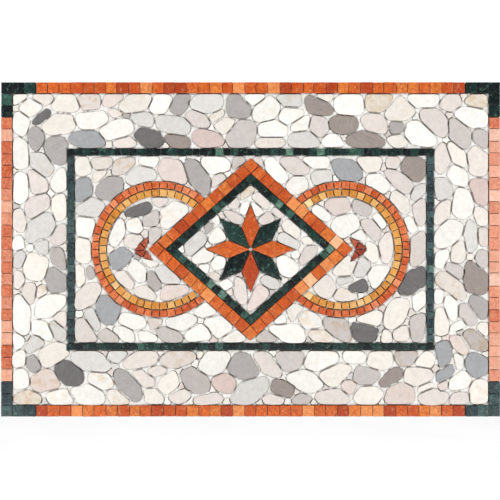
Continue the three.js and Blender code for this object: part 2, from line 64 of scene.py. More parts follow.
# Heights above the back face
LOWEST_TOP = 6.5
STEEPEST_TOP = 0.04
USUAL_TOP = 9.0
PROBES = ((0, 0), (2.5, 0), (0, 2.5), (-2.5, 0), (0, -2.5))
FOOT_HEIGHT = 2.6
BED_HEIGHT = 3.9
BED_SWELL = 2.2
BED_UNEVENNESS = 0.6
SKIN_BACK = 0.35
SKIN_UNEVENNESS = 0.12

# Adhesive: the cells of its grid, and how many mm off every stone the middle of a wide gap lies
BED_PITCH = 4.0
BED_INSET = 1.2
WIDE_GAP = 3

# Glass mesh
THREAD_PITCH = 5.0
THREAD_WIDTH = 0.9
THREAD_THICKNESS = 0.3
THREAD_EDGE = 0.12
THREAD_LIFT = 0.08
THREAD_WANDER = 0.5
THREAD_STEPS = 24

# Tiles
JOINT_INSET = 0.32
RING_JOINT_INSET = 0.6
SHARD_INSET = 0.1
DIAMOND_CLEARANCE = 0.3
CORNER_ROUNDING = 0.8
CORNER_STEPS = 4
SIDE_STEPS = 3
TILE_ROUGH_CUT = 0.22
TILE_SINK = 0.5
TILE_TILT = 0.012
LEAST_PLACE = 25
LEAST_TILE = 20
JOINT_SPREAD = 2.0
NARROWEST_TILE = 8.0
NARROWEST_RING_TILE = 4.0
ON_CIRCLE = 0.05
CORNER_TILES = 3

# Pebbles
RAYS = 48
PEBBLE_GAP = 1.9
TILE_GAP = 0.9
MARCH_STEP = 0.3
PEBBLE_WOBBLE = 0.32
TOP_WAVE = 0.16
NEIGHBOUR_REACH = 75
OBSTACLE_REACH = 60

# Small chips that fill the wide gaps
CHIP_GRID = 2.0
CHIP_CLEARANCE = 4.9
CHIP_GAP = 0.9
CHIP_LONGEST = 9.0
CHIP_RAYS = 18
CHIP_SINK = 2.0
CHIP_TILT = 0.05
CHIP_STEP = 0.4
CHIP_CORNER = 0.6

# Each ring of a stone: share of the reach, inset in mm, drop below the top in mm, how much edge it is
PEBBLE_PROFILE = (
    (0.5, 0.0, 0.0, 0.0),
    (1.0, 2.9, 0.0, 0.0),
    (1.0, 1.4, 0.12, 0.1),
    (1.0, 0.6, 0.36, 0.4),
    (1.0, 0.15, 0.75, 0.75),
    (1.0, 0.0, 1.3, 1.0),
    (1.0, 0.15, 3.2, 1.0),
    (1.0, 0.8, 4.6, 1.0),
)
TILE_PROFILE = (
    (0.5, 0.0, 0.0, 0.0),
    (1.0, 0.7, 0.0, 0.0),
    (1.0, 0.25, 0.08, 0.4),
    (1.0, 0.05, 0.3, 0.8),
    (1.0, 0.0, 0.8, 1.0),
)

# The photograph: millimetres per pixel and the pixel where the panel's middle lies
PIXEL = 1.999
PIXEL_CENTRE = (250.6, 249.35)
IMAGE_WIDTH = 500

# The side of the surroundings that is brightest, behind and above the panel, and their light
BRIGHT_SIDE = (0, 1, 0.8)
FRONT_LIGHT = 0.16
BACK_LIGHT = 1.2
LIGHT_CHANGE = (-0.2, 0.6)

# Soft boxes: name, place and size in metres, power in watts
SOFT_BOXES = (
    ("left_box", (-1.9, -1.5, 0.15), (0.4, 1.4), 18),
    ("right_box", (1.9, -1.5, 0.15), (0.4, 1.4), 19),
    ("top_box", (-0.4, -1.5, 2.0), (2.0, 1.0), 16),
)

# Floor: how far below the panel it lies, and half its width, in metres
FLOOR_DROP = 0.3
FLOOR_REACH = 6.0

# Camera, in metres
CAMERA_DISTANCE = 2.3
SENSOR_WIDTH = 36
FACE_HEIGHT = 0.012

# How much darker or lighter than its tone a stone may be
TONE_CHANGE = (0.93, 1.05)

# Stone colours as they look in the photograph, with how often each is used
PEBBLE_TONES = (
    ((241, 238, 232), 34),
    ((235, 229, 220), 15),
    ((226, 218, 210), 16),
    ((218, 209, 203), 13),
    ((214, 211, 207), 10),
    ((199, 192, 188), 7),
    ((182, 175, 171), 2),
    ((222, 208, 201), 4),
)
SLATE = (106, 103, 103)
GREY = (170, 165, 162)
BLUE_GREY = (160, 161, 163)
TAUPE = (152, 141, 134)
TAN = (218, 208, 194)
PINK = (210, 190, 184)
TAN_STAIN = 0.55

# Pixels of the photograph where a stone of that colour lies
ACCENTS = {
    SLATE: (
        (41, 122), (159, 140), (142, 211), (61, 383), (247, 360), (416, 286), (350, 332), (361, 289),
    ),
    GREY: (
        (175, 102), (239, 101), (44, 140), (67, 142), (106, 199), (388, 127),
        (48, 282), (41, 367), (124, 378), (245, 373), (481, 301), (186, 184),
    ),
    BLUE_GREY: (
        (100, 140), (87, 193), (352, 173), (117, 262), (108, 308), (451, 371), (483, 363), (440, 350),
    ),
    TAUPE: (
        (184, 140), (312, 116), (348, 122), (366, 135), (421, 178), (478, 270), (283, 373), (397, 383),
    ),
    TAN: ((384, 101), (29, 395), (247, 200), (468, 101)),
    PINK: ((205, 139), (226, 382), (481, 190)),
}

# Marble colours as they look in the photograph
ORANGE_TONES = (
    ((210, 102, 36), 5),
    ((196, 86, 26), 4),
    ((220, 124, 52), 3),
    ((168, 62, 20), 2),
    ((230, 146, 84), 2),
)
# Lighter copies of the orange for the left and right border rows, with the soft boxes' sheen painted in;
# the right row's copy carries the stronger painted sheen.
PAINTED_SHEEN_ORANGE_TONES = (
    ((210, 124, 90), 4),
    ((217, 145, 116), 4),
    ((199, 108, 72), 3),
    ((224, 167, 142), 2),
)
PAINTED_STRONG_SHEEN_ORANGE_TONES = (
    ((230, 170, 145), 4),
    ((224, 152, 124), 4),
    ((236, 194, 175), 3),
    ((214, 128, 98), 1),
)
RING_ORANGE_TONES = (((212, 106, 52), 4), ((200, 92, 42), 3), ((222, 124, 74), 4), ((232, 144, 100), 2))
YELLOW_TONES = (((218, 156, 76), 5), ((206, 138, 54), 4), ((226, 176, 104), 3), ((234, 196, 138), 1))
GREEN_TONES = (((18, 42, 38), 5), ((8, 22, 23), 5), ((30, 62, 55), 3), ((58, 96, 84), 1))
# A lighter copy of the green with painted sheen, for the left and right rows of the frame and the bottom
# corners.
PAINTED_SHEEN_GREEN_TONES = (((62, 82, 84), 4), ((50, 66, 72), 4), ((78, 100, 100), 3), ((94, 124, 120), 1))
SHARD_TONES = (((176, 74, 44), 2), ((162, 62, 38), 2), ((194, 98, 66), 1))

# The tones of the border's row and of the inner frame's row on each side; the left and right rows take the
# lighter copies with painted sheen.
ROW_TONES = {
    "top": (ORANGE_TONES, GREEN_TONES),
    "bottom": (ORANGE_TONES, GREEN_TONES),
    "left": (PAINTED_SHEEN_ORANGE_TONES, PAINTED_SHEEN_GREEN_TONES),
    "right": (PAINTED_STRONG_SHEEN_ORANGE_TONES, PAINTED_SHEEN_GREEN_TONES),
}

# Pixels of the photograph where a tile stands out
TILE_ACCENTS = {
    (246, 190, 146): ((311, 279), (336, 239)),
    (250, 214, 156): ((311, 204), (313, 290)),
    (104, 142, 124): ((221, 152), (288, 152), (318, 152), (209, 281), (225, 294), (332, 249), (279, 200)),
}


def linear(colour):
    """A colour of the photograph, 0 to 255, as the renderer's linear light."""
    shares = [channel / 255 for channel in colour]
    return tuple(s / 12.92 if s <= 0.04045 else ((s + 0.055) / 1.055) ** 2.4 for s in shares)


def picked(tones, rng):
    """One of the tones, by their weights, a little lighter or darker."""
    colour = rng.choices([t[0] for t in tones], [t[1] for t in tones])[0]
    change = rng.uniform(*TONE_CHANGE)
    return tuple(min(1.0, channel * change) for channel in linear(colour))


def from_photo(pixel):
    """The place on the panel, in mm, that a pixel of the photograph shows."""
    return np.array([(pixel[0] - PIXEL_CENTRE[0]) * PIXEL, (PIXEL_CENTRE[1] - pixel[1]) * PIXEL])


# Outlines


def clipped(outline, point, normal):
    """The part of a convex outline on the side of the line through point that normal points to."""
    kept = []
    for a, b in zip(outline, np.roll(outline, -1, axis=0)):
        side_a = (a - point) @ normal
        side_b = (b - point) @ normal
        if side_a >= 0:
            kept.append(a)
        if side_a * side_b < 0:
            kept.append(a + (b - a) * side_a / (side_a - side_b))
    return np.array(kept)


def shrunk(outline, distance):
    """A convex counter-clockwise outline with each side moved in."""
    result = outline
    for a, b in zip(outline, np.roll(outline, -1, axis=0)):
        along = (b - a) / max(np.linalg.norm(b - a), 1e-9)
        inward = np.array([-along[1], along[0]])
        if len(result):
            result = clipped(result, a + inward * distance, inward)
    return result


def area(outline):
    """The area of an outline, above 0 when it runs counter-clockwise."""
    x, z = outline[:, 0], outline[:, 1]
    return 0.5 * float(np.sum(x * np.roll(z, -1) - np.roll(x, -1) * z))


def true_corners(outline, least_turn=0.04):
    """The outline without the points where it runs straight on."""
    before = outline - np.roll(outline, 1, axis=0)
    after = np.roll(outline, -1, axis=0) - outline
    cross = before[:, 0] * after[:, 1] - before[:, 1] * after[:, 0]
    lengths = np.linalg.norm(before, axis=1) * np.linalg.norm(after, axis=1)
    return outline[np.abs(cross) > least_turn * lengths]


def hull_of(points):
    """The convex outline round the points, counter-clockwise."""
    order = convex_hull_2d([tuple(p) for p in points])
    outline = true_corners(points[order])
    return outline if area(outline) > 0 else outline[::-1]


def edge_distance(points, outline):
    """The distance from each point to an outline's nearest side."""
    starts = outline
    sides = np.roll(outline, -1, axis=0) - starts
    offsets = points[:, None, :] - starts[None, :, :]
    shares = np.einsum("psk,sk->ps", offsets, sides) / np.maximum((sides * sides).sum(axis=1), 1e-9)
    nearest = offsets - np.clip(shares, 0, 1)[:, :, None] * sides[None, :, :]
    return np.linalg.norm(nearest, axis=2).min(axis=1)


def rectangle(a, b):
    """The rectangle between two opposite corners, counter-clockwise."""
    (x0, z0), (x1, z1) = np.minimum(a, b), np.maximum(a, b)
    return np.array([(x0, z0), (x1, z0), (x1, z1), (x0, z1)])


def rounded(outline, radius, rough, rng):
    """A convex outline with rounded corners, and sides that are as uneven as a rough cut."""
    points = []
    count = len(outline)
    for i in range(count):
        before, corner, after = outline[i - 1], outline[i], outline[(i + 1) % count]
        towards_before = (before - corner) / np.linalg.norm(before - corner)
        towards_after = (after - corner) / np.linalg.norm(after - corner)
        room = 0.45 * min(np.linalg.norm(before - corner), np.linalg.norm(after - corner))
        reach = min(radius * rng.uniform(0.6, 1.4), room)
        start, end = corner + towards_before * reach, corner + towards_after * reach
        for step in range(CORNER_STEPS):
            t = step / (CORNER_STEPS - 1)
            points.append(start * (1 - t) ** 2 + corner * 2 * t * (1 - t) + end * t**2)
        inward = np.array([-towards_after[1], towards_after[0]])
        next_start = after - towards_after * min(radius, room)
        for step in range(1, SIDE_STEPS):
            place = end + (next_start - end) * step / SIDE_STEPS
            points.append(place + inward * rough * rng.random())
    return np.array(points)


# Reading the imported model


def welded(name):
    """A node's corners as x, z and height in mm, shared ones merged, with its triangles."""
    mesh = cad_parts[name].data
    mesh.calc_loop_triangles()
    places = np.empty(len(mesh.vertices) * 3)
    mesh.vertices.foreach_get("co", places)
    places = places.reshape(-1, 3) / METRES
    corners, index = np.unique(np.round(places, 3), axis=0, return_inverse=True)
    triangles = np.empty(len(mesh.loop_triangles) * 3, dtype=int)
    mesh.loop_triangles.foreach_get("vertices", triangles)
    return corners[:, [0, 2, 1]] * (1, 1, -1), index.reshape(-1)[triangles].reshape(-1, 3)


def top_corners(name):
    """The x and z of the corners on the tops of a node's stones."""
    corners, _ = welded(name)
    return corners[corners[:, 2] > LOWEST_TOP][:, :2]


def flat_corners(box):
    """The lowest and highest x and z of a box, in mm."""
    return [np.array([corner.x, corner.z]) / METRES for corner in box]


def upward_triangles(corners, triangles):
    """The triangles that face the viewer and lie above the bed."""
    a, b, c = (corners[triangles[:, k]] for k in range(3))
    normals = np.cross(b - a, c - a)
    normals /= np.maximum(np.linalg.norm(normals, axis=1), 1e-12)[:, None]
    high = corners[triangles][:, :, 2].min(axis=1) > LOWEST_TOP
    return triangles[high & (np.abs(normals[:, 2]) > 0.9)]


def pebble_tops(name):
    """The flat tops of a field's pebbles, each as its corners in counter-clockwise order."""
    corners, triangles = welded(name)
    neighbours = {}
    for a, b, c in upward_triangles(corners, triangles):
        for start, end in ((a, b), (b, c), (c, a)):
            if neighbours.get(end) and start in neighbours[end]:
                neighbours[end].remove(start)
            else:
                neighbours.setdefault(start, []).append(end)
    tops = []
    while any(neighbours.values()):
        start = next(key for key, ends in neighbours.items() if ends)
        loop = [start]
        while neighbours.get(loop[-1]):
            following = neighbours[loop[-1]].pop()
            if following == start:
                break
            loop.append(following)
        outline = true_corners(corners[loop][:, :2])
        if len(outline) > 2:
            tops.append(outline if area(outline) > 0 else outline[::-1])
    return tops


def surface_of(name):
    """A function that gives the height of a node's front at a place."""
    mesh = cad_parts[name].data
    tree = BVHTree.FromPolygons([v.co for v in mesh.vertices], [p.vertices for p in mesh.polygons])

    def height(place):
        start = Vector((place[0] * METRES, -1, place[1] * METRES))
        hit = tree.ray_cast(start, Vector((0, 1, 0)))[0]
        return -hit.y / METRES if hit else None

    return height


# Stones


class Stone:
    """One stone: its outline as rays from its middle, the plane of its top, and its colouring."""

    def __init__(self, outline, height, tone, rng, centre=None):
        self.centre = outline.mean(axis=0) if centre is None else centre
        offsets = outline - self.centre
        self.reach = np.linalg.norm(offsets, axis=1)
        self.directions = offsets / np.maximum(self.reach, 1e-6)[:, None]
        self.tone = tone
        self.seed = rng.random()
        self.patch = 0.0
        self.level, self.slope = self.plane(height)

    def plane(self, height):
        """The height of the top at the middle, and how it changes with x and z."""
        found = []
        for step in PROBES:
            level = height(self.centre + step)
            if level and level > LOWEST_TOP:
                found.append((1.0, *step, level))
        if len(found) < 4:
            return (found[0][3] if found else USUAL_TOP), np.zeros(2)
        table = np.array(found)
        level, *slope = np.linalg.lstsq(table[:, :3], table[:, 3], rcond=None)[0]
        return level, np.clip(np.array(slope), -STEEPEST_TOP, STEEPEST_TOP)

    def outline(self):
        """The outline's points in order."""
        return self.centre + self.directions * self.reach[:, None]


def spline_reach(outline, centre):
    """How far a smooth closed curve through the corners lies from the centre, for each ray."""
    dense = []
    count = len(outline)
    for i in range(count):
        p0, p1, p2, p3 = (outline[(i + k) % count] for k in (-1, 0, 1, 2))
        for t in np.linspace(0, 1, 12, endpoint=False):
            dense.append(
                0.5 * (2 * p1 + (p2 - p0) * t + (2 * p0 - 5 * p1 + 4 * p2 - p3) * t**2
                       + (3 * p1 - p0 - 3 * p2 + p3) * t**3)
            )
    return reach_at_rays(np.array(dense), centre)


def reach_at_rays(points, centre):
    """The distance of a closed line of points from the centre, at evenly spaced angles."""
    offsets = points - centre
    angles = np.arctan2(offsets[:, 1], offsets[:, 0])
    order = np.argsort(angles)
    return np.interp(RAY_ANGLES, angles[order], np.linalg.norm(offsets, axis=1)[order], period=2 * math.pi)


def densified(outline, steps=10):
    """The outline with points added along its straight sides."""
    sides = (np.roll(outline, -1, axis=0) - outline)[:, None, :]
    numbers = np.arange(steps)[None, :, None]
    return (outline[:, None, :] + sides * numbers / steps).reshape(-1, 2)


def ring_distance(points, rings):
    """The distance from each point to the nearest ring of tiles, given as centre and two radii."""
    result = np.full(len(points), 1e6)
    for centre, inner, outer in rings:
        away = np.linalg.norm(points - centre, axis=1)
        result = np.minimum(result, np.maximum(inner - away, away - outer))
    return result


def pebble_reach(own, others, obstacles, rings, rng):
    """The rays of a pebble that fills out its flat-sided solid but keeps off what is round it."""
    centre = own.mean(axis=0)
    flat = reach_at_rays(densified(own), centre)
    full = np.maximum(spline_reach(own, centre), flat)
    wanted = flat + (full - flat) * rng.uniform(0.45, 1.15)
    gap = PEBBLE_GAP * rng.uniform(0.6, 1.7)
    directions = np.stack([np.cos(RAY_ANGLES), np.sin(RAY_ANGLES)], axis=1)
    reach = flat * 0.8
    open_rays = np.ones(RAYS, dtype=bool)
    while open_rays.any():
        trial = reach + MARCH_STEP
        points = centre + directions * trial[:, None]
        slack = np.where(trial > flat, edge_distance(points, own), 0)
        clear = np.full(RAYS, 1e6)
        for other in others:
            clear = np.minimum(clear, edge_distance(points, other) - slack - gap)
        for obstacle in obstacles:
            clear = np.minimum(clear, edge_distance(points, obstacle) - TILE_GAP)
        clear = np.minimum(clear, ring_distance(points, rings) - TILE_GAP)
        open_rays &= (clear > 0) & (trial < wanted)
        reach = np.where(open_rays, trial, reach)
    return centre, directions, softened(reach, rng)


def softened(reach, rng):
    """The rays with their sharp corners worn off, and small uneven bits."""
    for _ in range(2):
        spread = (np.roll(reach, 1) + reach * 2 + np.roll(reach, -1)) / 4
        reach = np.minimum(reach, spread + 0.05)
    uneven = np.zeros(RAYS)
    for waves in (3, 5, 8, 13):
        uneven += np.cos(waves * RAY_ANGLES + rng.uniform(0, 2 * math.pi)) / waves**0.5
    return np.maximum(reach - PEBBLE_WOBBLE * (0.5 + 0.5 * uneven / 2), 1.5)


def field_stones(name, all_tops, obstacles, rings):
    """The pebbles of one field."""
    rng = random.Random(name)
    height = surface_of(name)
    stones = []
    for own in all_tops[name]:
        centre = own.mean(axis=0)
        others = [
            top
            for tops in all_tops.values()
            for top in tops
            if top is not own and np.linalg.norm(top.mean(axis=0) - centre) < NEIGHBOUR_REACH
        ]
        near = [o for o in obstacles if edge_distance(centre[None, :], o)[0] < OBSTACLE_REACH]
        centre, directions, reach = pebble_reach(own, others, near, rings, rng)
        outline = centre + directions * reach[:, None]
        stone = Stone(outline, height, picked(PEBBLE_TONES, rng), rng, centre)
        stone.patch = rng.choice((0, 0, 0, 0, 0.25, 0.6)) * rng.random()
        stones.append(stone)
    return stones


def joints_along(places):
    """The places of a row's joints between its two ends, from the corners of the solids."""
    found = []
    for place in sorted(places):
        if not found or place - found[-1] > JOINT_SPREAD:
            found.append(place)
    low, high = min(places), max(places)
    inner = [place for place in found if low + NARROWEST_TILE < place < high - NARROWEST_TILE]
    return [low - 1] + inner + [high + 1]


def random_tilt(most, rng):
    """How the height of a tilted top changes with x and z."""
    return np.array([rng.uniform(-most, most), rng.uniform(-most, most)])


def cut_tile(outline, height, tones, rng, inset=JOINT_INSET):
    """A tile with the given place for itself and half of each joint, or None where too little is left."""
    if len(outline) < 3 or area(outline) < LEAST_PLACE:
        return None
    own = shrunk(outline, inset * rng.uniform(0.4, 1.7))
    if len(own) < 3 or area(own) < LEAST_TILE:
        return None
    own = true_corners(own)
    stone = Stone(rounded(own, CORNER_ROUNDING, TILE_ROUGH_CUT, rng), height, picked(tones, rng), rng)
    stone.level -= TILE_SINK * rng.random()
    stone.slope = stone.slope + random_tilt(TILE_TILT, rng)
    return stone


def row_stones(name, tones):
    """The tiles of a straight row."""
    rng = random.Random(name)
    top = top_corners(name)
    outline = hull_of(top)
    sides = np.roll(outline, -1, axis=0) - outline
    longest = sides[np.argmax(np.linalg.norm(sides, axis=1))]
    along = longest / np.linalg.norm(longest)
    joints = joints_along(list(top @ along))
    height = surface_of(name)
    stones = []
    for start, end in zip(joints, joints[1:]):
        tile = clipped(clipped(outline, along * start, along), along * end, -along)
        stones.append(cut_tile(tile, height, tones, rng))
    return [s for s in stones if s]


def fitted_circle(points):
    """The centre and radius of the circle that most of the points lie on."""
    kept = points
    for _ in range(4):
        table = np.column_stack([2 * kept, np.ones(len(kept))])
        x, z, rest = np.linalg.lstsq(table, (kept**2).sum(axis=1), rcond=None)[0]
        centre = np.array([x, z])
        radius = math.sqrt(rest + x * x + z * z)
        misses = np.abs(np.linalg.norm(points - centre, axis=1) - radius)
        kept = points[misses <= max(0.02, np.median(misses) * 2)]
    return centre, radius


def ring_size(name):
    """The centre of a ring of tiles and its inner and outer radius."""
    top = top_corners(name)
    centre, outer = fitted_circle(hull_of(top))
    away = np.linalg.norm(top - centre, axis=1)
    return centre, float(np.median(away[away < (away.min() + outer) / 2])), outer


def ring_joints(top, centre, outer, facing):
    """The angles of a ring's joints, and one more at each end, from the corners of the solids."""
    offsets = top - centre
    on_outer = np.abs(np.linalg.norm(offsets, axis=1) - outer) < ON_CIRCLE
    angles = np.arctan2(offsets[on_outer, 1], offsets[on_outer, 0]) - facing
    angles = np.sort((angles + math.pi) % (2 * math.pi) - math.pi)
    joints = [angles[0]]
    for angle in angles:
        if (angle - joints[-1]) * outer > NARROWEST_RING_TILE:
            joints.append(angle)
    step = float(np.median(np.diff(joints)))
    return [joints[0] - step] + joints + [joints[-1] + step]


def ring_stones(name, tones, diamond):
    """The tiles of a ring, cut off where the ring runs under the diamond."""
    rng = random.Random(name)
    centre, inner, outer = ring_size(name)
    facing = 0 if centre[0] > 0 else math.pi
    joints = ring_joints(top_corners(name), centre, outer, facing)
    height = surface_of(name)
    stones = []
    for start, end in zip(joints, joints[1:]):
        places = ((inner, start), (outer, start), (outer, end), (inner, end))
        turned = [(r * math.cos(a + facing), r * math.sin(a + facing)) for r, a in places]
        tile = cut_by_diamond(centre + np.array(turned), diamond)
        stones.append(cut_tile(tile, height, tones, rng, RING_JOINT_INSET))
    return [s for s in stones if s]


def cut_by_diamond(tile, diamond):
    """The part of a ring's tile outside the side of the diamond that lies in its quarter."""
    middle = tile.mean(axis=0)
    for a, b in zip(diamond, np.roll(diamond, -1, axis=0)):
        outward = np.array([b[1] - a[1], a[0] - b[0]]) / np.linalg.norm(b - a)
        if same_quarter(middle, (a + b) / 2):
            return clipped(tile, a + outward * DIAMOND_CLEARANCE, outward)
    return tile


def same_quarter(a, b):
    """Whether two places lie in the same quarter of the panel."""
    return a[0] * b[0] > 0 and a[1] * b[1] > 0


def corner_stones(name, tones):
    """The tiles of one corner piece of the border, an L."""
    rng = random.Random(name)
    low, high = flat_corners(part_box(name))
    pitch = (high - low) / CORNER_TILES
    outward = np.sign(low + high)
    outer = np.where(outward > 0, high, low)
    height = surface_of(name)
    numbers = range(CORNER_TILES)
    stones = []
    for cell in [(column, row) for column in numbers for row in numbers if not (column and row)]:
        first = outer - outward * pitch * cell
        tile = rectangle(first, first - outward * pitch)
        stones.append(cut_tile(tile, height, tones, rng))
    return [s for s in stones if s]


def single_stone(name, tones):
    """A node that is one flat stone, such as a petal of the star."""
    rng = random.Random(name)
    outline = hull_of(top_corners(name))
    inset = SHARD_INSET if name.startswith("shard") else JOINT_INSET
    return [cut_tile(outline, surface_of(name), tones, rng, inset)]


def chip_stones(fields, tiles):
    """Small chips for the wide gaps between pebbles, by the field that each lies in."""
    rng = random.Random("chips")
    samples = []
    for name, stones in list(fields.items()) + [(None, stones) for stones in tiles.values()]:
        for stone in stones:
            samples += [(place, name) for place in densified(stone.outline(), 2 if name else 5)]
    tree = flat_tree([place for place, _ in samples])
    chosen = []
    for clearance, place, name in open_spots(tree, samples, fields, tiles):
        if all(np.linalg.norm(place - p) > clearance + c + CHIP_GAP for c, p, _ in chosen):
            chosen.append((clearance, place, name))
    chips = {name: [] for name in fields}
    for clearance, place, name in chosen:
        chips[name].append(chip_at(place, clearance, tree, rng))
    return chips


def flat_tree(places):
    """A search tree over places on the panel."""
    tree = KDTree(len(places))
    for index, place in enumerate(places):
        tree.insert((place[0], place[1], 0), index)
    tree.balance()
    return tree


def chip_at(place, clearance, tree, rng):
    """A chip that fills the gap round a place."""
    angles = np.linspace(0, 2 * math.pi, CHIP_RAYS, endpoint=False)
    directions = np.stack([np.cos(angles), np.sin(angles)], axis=1)
    reach = np.array([chip_reach(tree, place, d, clearance) for d in directions])
    reach = np.minimum(reach, (np.roll(reach, 1) + np.roll(reach, -1)) / 2 + CHIP_CORNER)
    outline = place + directions * (reach * rng.uniform(0.86, 1.0))[:, None]
    level = USUAL_TOP - CHIP_SINK * rng.random()
    chip = Stone(outline, lambda _: level, picked(PEBBLE_TONES, rng), rng, place)
    chip.slope = random_tilt(CHIP_TILT, rng)
    return chip


def open_spots(tree, samples, fields, tiles):
    """Places in the fields that are far from every stone, the most open first."""
    stones = [s for group in list(fields.values()) + list(tiles.values()) for s in group]
    middles = flat_tree([stone.centre for stone in stones])
    low, high = cad_bounds
    spots = []
    for x in np.arange(low.x / METRES + 20, high.x / METRES - 20, CHIP_GRID):
        for z in np.arange(low.z / METRES + 20, high.z / METRES - 20, CHIP_GRID):
            _, index, distance = tree.find((x, z, 0))
            if distance < CHIP_CLEARANCE or distance > 3 * CHIP_CLEARANCE:
                continue
            name = samples[index][1]
            place = np.array([x, z])
            near = [stones[k] for _, k, _ in middles.find_n((x, z, 0), 8)]
            if name and not any(covers(stone, place) for stone in near):
                spots.append((distance, place, name))
    return sorted(spots, key=lambda spot: -spot[0])


def covers(stone, place):
    """Whether a stone lies over the place."""
    offset = place - stone.centre
    distance = np.linalg.norm(offset)
    facing = int(np.argmax(stone.directions @ offset))
    return distance < stone.reach[facing]


def chip_reach(tree, place, direction, clearance):
    """How far a chip may reach in one direction."""
    reach = clearance - CHIP_GAP
    while reach < CHIP_LONGEST:
        tip = place + direction * (reach + CHIP_STEP)
        if tree.find((tip[0], tip[1], 0))[2] < CHIP_GAP:
            break
        reach += CHIP_STEP
    return reach


# Meshes


def stone_rings(stone, profile):
    """The corners of a stone from the middle of its top to the middle of its foot, with edge values."""
    places, heights, edges = [stone.centre[None, :]], [np.zeros(1)], [np.zeros(1)]
    for share, inset, drop, edge in profile:
        inset = inset * min(1.0, float(stone.reach.min()) / 5)
        distance = np.maximum(stone.reach * share - inset, 0.3)
        places.append(stone.centre + stone.directions * distance[:, None])
        heights.append(np.full(len(distance), -drop))
        edges.append(np.full(len(distance), edge))
    flat = np.concatenate(places)
    rise = np.concatenate(heights) + stone.level + (flat - stone.centre) @ stone.slope
    shift = stone.seed * 50
    wave = np.array([noise.noise(Vector((x / 11, z / 11, shift))) for x, z in flat])
    foot = np.concatenate([places[-1], stone.centre[None, :]])
    flat = np.concatenate([flat, foot])
    rise = np.concatenate([rise + TOP_WAVE * (wave - 1), np.full(len(foot), FOOT_HEIGHT)])
    return flat, rise, np.concatenate([*edges, np.ones(len(foot))])


def stone_faces(first, points, rings):
    """The faces of one stone whose corners start at number first."""
    faces = []
    last = first + 1 + points * rings
    for i in range(points):
        j = (i + 1) % points
        faces.append((first, first + 1 + j, first + 1 + i))
        for ring in range(rings - 1):
            upper, lower = first + 1 + ring * points, first + 1 + (ring + 1) * points
            faces.append((upper + i, upper + j, lower + j, lower + i))
        foot = first + 1 + (rings - 1) * points
        faces.append((last, foot + i, foot + j))
    return faces


def add_stones(name, stones, profile, material):
    """One piece from stones of the same profile. It stands for the node of that name."""
    places, faces, tones, seeds, edges, patches = [], [], [], [], [], []
    for stone in stones:
        flat, rise, edge = stone_rings(stone, profile)
        faces += stone_faces(len(places), len(stone.reach), len(profile) + 1)
        places += [(x * METRES, -h * METRES, z * METRES) for (x, z), h in zip(flat, rise)]
        tones += [(*stone.tone, 1.0)] * len(flat)
        seeds += [stone.seed] * len(flat)
        patches += [stone.patch] * len(flat)
        edges += list(edge)
    mesh = bpy.data.meshes.new(name + "_stones")
    mesh.from_pydata(places, [], faces)
    mesh.attributes.new("tone", "FLOAT_COLOR", "POINT").data.foreach_set("color", np.ravel(tones))
    for label, values in (("seed", seeds), ("edge", edges), ("patch", patches)):
        mesh.attributes.new(label, "FLOAT", "POINT").data.foreach_set("value", values)
    mesh.shade_smooth()
    piece = placed(name + "_stones", mesh, material)
    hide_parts(name)
    return piece


def placed(name, mesh, material):
    """The mesh as a piece of the panel, in the scene."""
    mesh.materials.append(material)
    piece = bpy.data.objects.new(name, mesh)
    bpy.context.scene.collection.objects.link(piece)
    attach(piece, "root")
    return piece


# Adhesive and glass mesh


def add_bed(material, stones):
    """The adhesive: one skin from the back of the mesh up into the gaps between the stones."""
    low, high = flat_corners(cad_bounds)
    columns, rows = (int(count) for count in np.round((high - low) / BED_PITCH))
    xs = np.linspace(low[0] + BED_INSET, high[0] - BED_INSET, columns)
    zs = np.linspace(low[1] + BED_INSET, high[1] - BED_INSET, rows)
    spots = [(x, z) for z in zs for x in xs]
    openness = gap_openness(stones, low, high, spots)
    heights = [bed_height(x, z) + BED_SWELL * share for (x, z), share in zip(spots, openness)]
    heights += [skin_height(x, z) for x, z in spots]
    places = [(x * METRES, -h * METRES, z * METRES) for (x, z), h in zip(spots + spots, heights)]
    mesh = bpy.data.meshes.new("adhesive_bed")
    mesh.from_pydata(places, [], slab_faces(columns, rows))
    # How open each gap is steers the adhesive's painted shade in the narrow gaps.
    values = np.concatenate([openness, np.ones(len(spots))])
    mesh.attributes.new("open", "FLOAT", "POINT").data.foreach_set("value", values)
    mesh.shade_smooth()
    piece = placed("adhesive_bed", mesh, material)
    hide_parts("backing_mesh")


def slab_faces(columns, rows):
    """The faces of a closed slab between two grids of corners, the front one first."""
    layer = columns * rows
    faces = []
    for row in range(rows - 1):
        for column in range(columns - 1):
            a = row * columns + column
            b, c, d = a + 1, a + columns + 1, a + columns
            faces.append((a, b, c, d))
            faces.append((layer + d, layer + c, layer + b, layer + a))
    rim = list(range(columns))
    rim += [row * columns + columns - 1 for row in range(1, rows)]
    rim += [(rows - 1) * columns + column for column in range(columns - 2, -1, -1)]
    rim += [row * columns for row in range(rows - 2, 0, -1)]
    for a, b in zip(rim, rim[1:] + rim[:1]):
        faces.append((b, a, layer + a, layer + b))
    return faces


